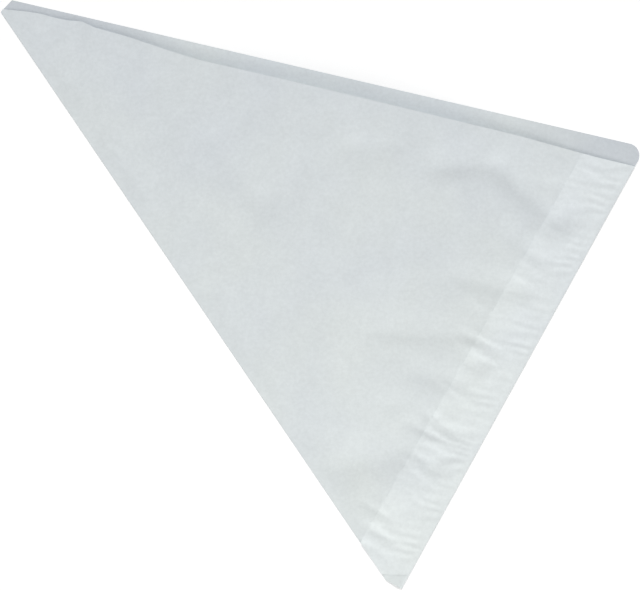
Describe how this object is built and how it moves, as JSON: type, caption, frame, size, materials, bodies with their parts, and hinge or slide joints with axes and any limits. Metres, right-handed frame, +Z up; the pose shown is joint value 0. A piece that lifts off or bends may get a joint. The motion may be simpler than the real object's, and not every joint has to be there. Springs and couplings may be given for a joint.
{
  "type": "disposable piping bag",
  "caption": "Flat-folded greaseproof paper piping bag: a triangular cone with one folded side, one glued lap seam with cockles, a blunt closed tip and an open lipped mouth.",
  "frame": {"origin": "middle of the flat bag's box, on the surface that its back wall lies on", "axes": "+Z up out of the front wall; +Y from the tip to the mouth, along the line that halves the angle at the tip; +X towards the glued seam side"},
  "size_m": [0.274, 0.263, 0.0095],
  "materials": {
    "greaseproof_paper": "thin translucent greaseproof paper with a soft sheen, cockled along the glued seam"
  },
  "bodies": {
    "root": {"paper_bag": "greaseproof_paper"}
  },
  "joints": []
}
